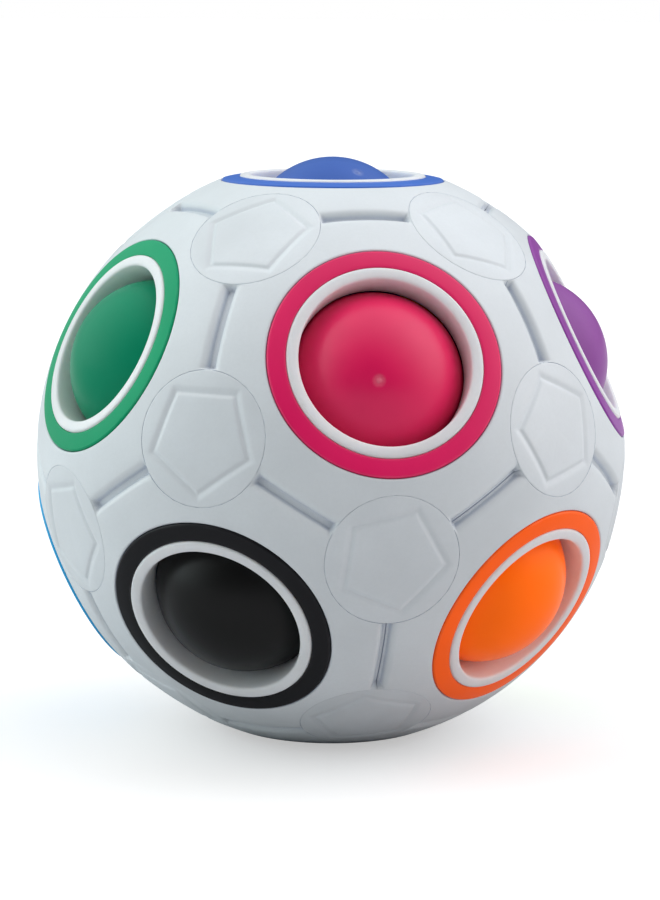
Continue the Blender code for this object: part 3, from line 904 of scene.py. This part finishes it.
def stage_floor():
    bm = bmesh.new()
    bmesh.ops.create_circle(bm, cap_ends=True, segments=96, radius=6.0)
    mesh = bpy.data.meshes.new("floor")
    bm.to_mesh(mesh)
    bm.free()
    floor = bpy.data.objects.new("floor", mesh)
    bpy.context.scene.collection.objects.link(floor)
    floor.location.z = -0.00002
    made = bpy.data.materials.new("floor")
    made.use_nodes = True
    tree = made.node_tree
    tree.nodes.clear()
    n = Nodes(tree)
    paper = n.new("ShaderNodeBsdfDiffuse")
    # Painted shade: for light bounced up from the floor, the floor is darker under the toy, where light is weaker than
    # on the open floor round it
    out = n.new("ShaderNodeVectorMath", operation="LENGTH")
    n.link(n.new("ShaderNodeNewGeometry").outputs["Position"], out.inputs[0])
    grey = n.mix(n.ramp(out.outputs["Value"], 0.004, 0.032), (0.50, 0.50, 0.51), (0.61, 0.61, 0.62))
    n.link(grey, paper.inputs["Color"])
    bright = n.new("ShaderNodeBsdfDiffuse")
    bright.inputs["Color"].default_value = (0.62, 0.62, 0.62, 1.0)
    glow = n.new("ShaderNodeEmission")
    glow.inputs["Strength"].default_value = 0.48
    seen = n.new("ShaderNodeAddShader")
    n.link(bright.outputs[0], seen.inputs[0])
    n.link(glow.outputs[0], seen.inputs[1])
    mix = n.new("ShaderNodeMixShader")
    n.link(n.new("ShaderNodeLightPath").outputs["Is Camera Ray"], mix.inputs[0])
    n.link(paper.outputs[0], mix.inputs[1])
    n.link(seen.outputs[0], mix.inputs[2])
    n.link(mix.outputs[0], n.new("ShaderNodeOutputMaterial").inputs["Surface"])
    floor.data.materials.append(made)
    return floor


stage_floor()

AZ, EL, ROLL = radians(-11.534), radians(9.592), radians(0.385)
TO_CAMERA = np.array([sin(AZ) * cos(EL), -cos(AZ) * cos(EL), sin(EL)])


# Soft lobes of studio light: azimuth from the camera towards its right, elevation, and strength in red, green and blue
LOBES = (
    (0, 90, (1.02, 0.98, 1.02)),
    (90, 45, (1.66, 1.70, 1.76)),
    (135, 45, (0.62, 0.70, 0.74)),
    (-135, 45, (0.44, 0.50, 0.48)),
    (-90, 45, (1.22, 1.22, 1.20)),
    (90, 8, (1.30, 1.18, 1.12)),
    (-135, 8, (0.38, 0.44, 0.44)),
    (-90, 8, (1.58, 1.86, 1.88)),
)
LOBE_POWER, LOBE_GAIN = 6.0, 1.03


def make_world():
    """A light tent: soft boxes overhead and at both sides, and a dark gap where the camera stands."""
    world = bpy.data.worlds.new("studio")
    bpy.context.scene.world = world
    world.use_nodes = True
    tree = world.node_tree
    tree.nodes.clear()
    n = Nodes(tree)
    out = n.new("ShaderNodeOutputWorld")
    ray = n.new("ShaderNodeTexCoord").outputs["Generated"]
    ahead = np.array([sin(AZ), -cos(AZ), 0.0])
    aside = np.array([cos(AZ), sin(AZ), 0.0])
    total = None
    for azimuth, elevation, strength in LOBES:
        a, e = radians(azimuth), radians(elevation)
        way = cos(e) * (cos(a) * ahead + sin(a) * aside) + np.array([0.0, 0.0, sin(e)])
        dot = n.new("ShaderNodeVectorMath", operation="DOT_PRODUCT")
        n.link(ray, dot.inputs[0])
        dot.inputs[1].default_value = tuple(way)
        fall = n.math("POWER", n.math("MAXIMUM", dot.outputs["Value"], 0.0), LOBE_POWER)
        part = n.new("ShaderNodeVectorMath", operation="SCALE")
        part.inputs[0].default_value = tuple(c * LOBE_GAIN for c in strength)
        n.link(fall, part.inputs["Scale"])
        if total is None:
            total = part.outputs[0]
        else:
            both = n.new("ShaderNodeVectorMath", operation="ADD")
            n.link(total, both.inputs[0])
            n.link(part.outputs[0], both.inputs[1])
            total = both.outputs[0]
    tent = n.new("ShaderNodeBackground")
    n.link(total, tent.inputs["Color"])
    seen = n.new("ShaderNodeBackground")
    seen.inputs["Color"].default_value = (1.0, 1.0, 1.0, 1.0)
    mix = n.new("ShaderNodeMixShader")
    n.link(n.new("ShaderNodeLightPath").outputs["Is Camera Ray"], mix.inputs[0])
    n.link(tent.outputs[0], mix.inputs[1])
    n.link(seen.outputs[0], mix.inputs[2])
    n.link(mix.outputs[0], out.inputs["Surface"])


make_world()

camera_data = bpy.data.cameras.new("camera")
camera_data.sensor_width = 36.0
camera_data.lens = 2782.0 / 900.0 * 36.0
camera_data.clip_start, camera_data.clip_end = 0.01, 50.0
camera = bpy.data.objects.new("camera", camera_data)
bpy.context.scene.collection.objects.link(camera)
right = Vector((cos(AZ), sin(AZ), 0.0))
back = Vector(TO_CAMERA)
up = back.cross(right)
right, up = right * cos(ROLL) + up * sin(ROLL), up * cos(ROLL) - right * sin(ROLL)
camera.matrix_world = Matrix(
    (
        (right.x, up.x, back.x, CENTRE[0] + back.x * 0.33306),
        (right.y, up.y, back.y, CENTRE[1] + back.y * 0.33306),
        (right.z, up.z, back.z, CENTRE[2] + back.z * 0.33306),
        (0.0, 0.0, 0.0, 1.0),
    )
)
camera_data.shift_x = -0.9 / 900.0
camera_data.shift_y = 0.9 / 900.0
bpy.context.scene.camera = camera

scene = bpy.context.scene
scene.view_settings.view_transform = "Standard"
scene.view_settings.look = "None"
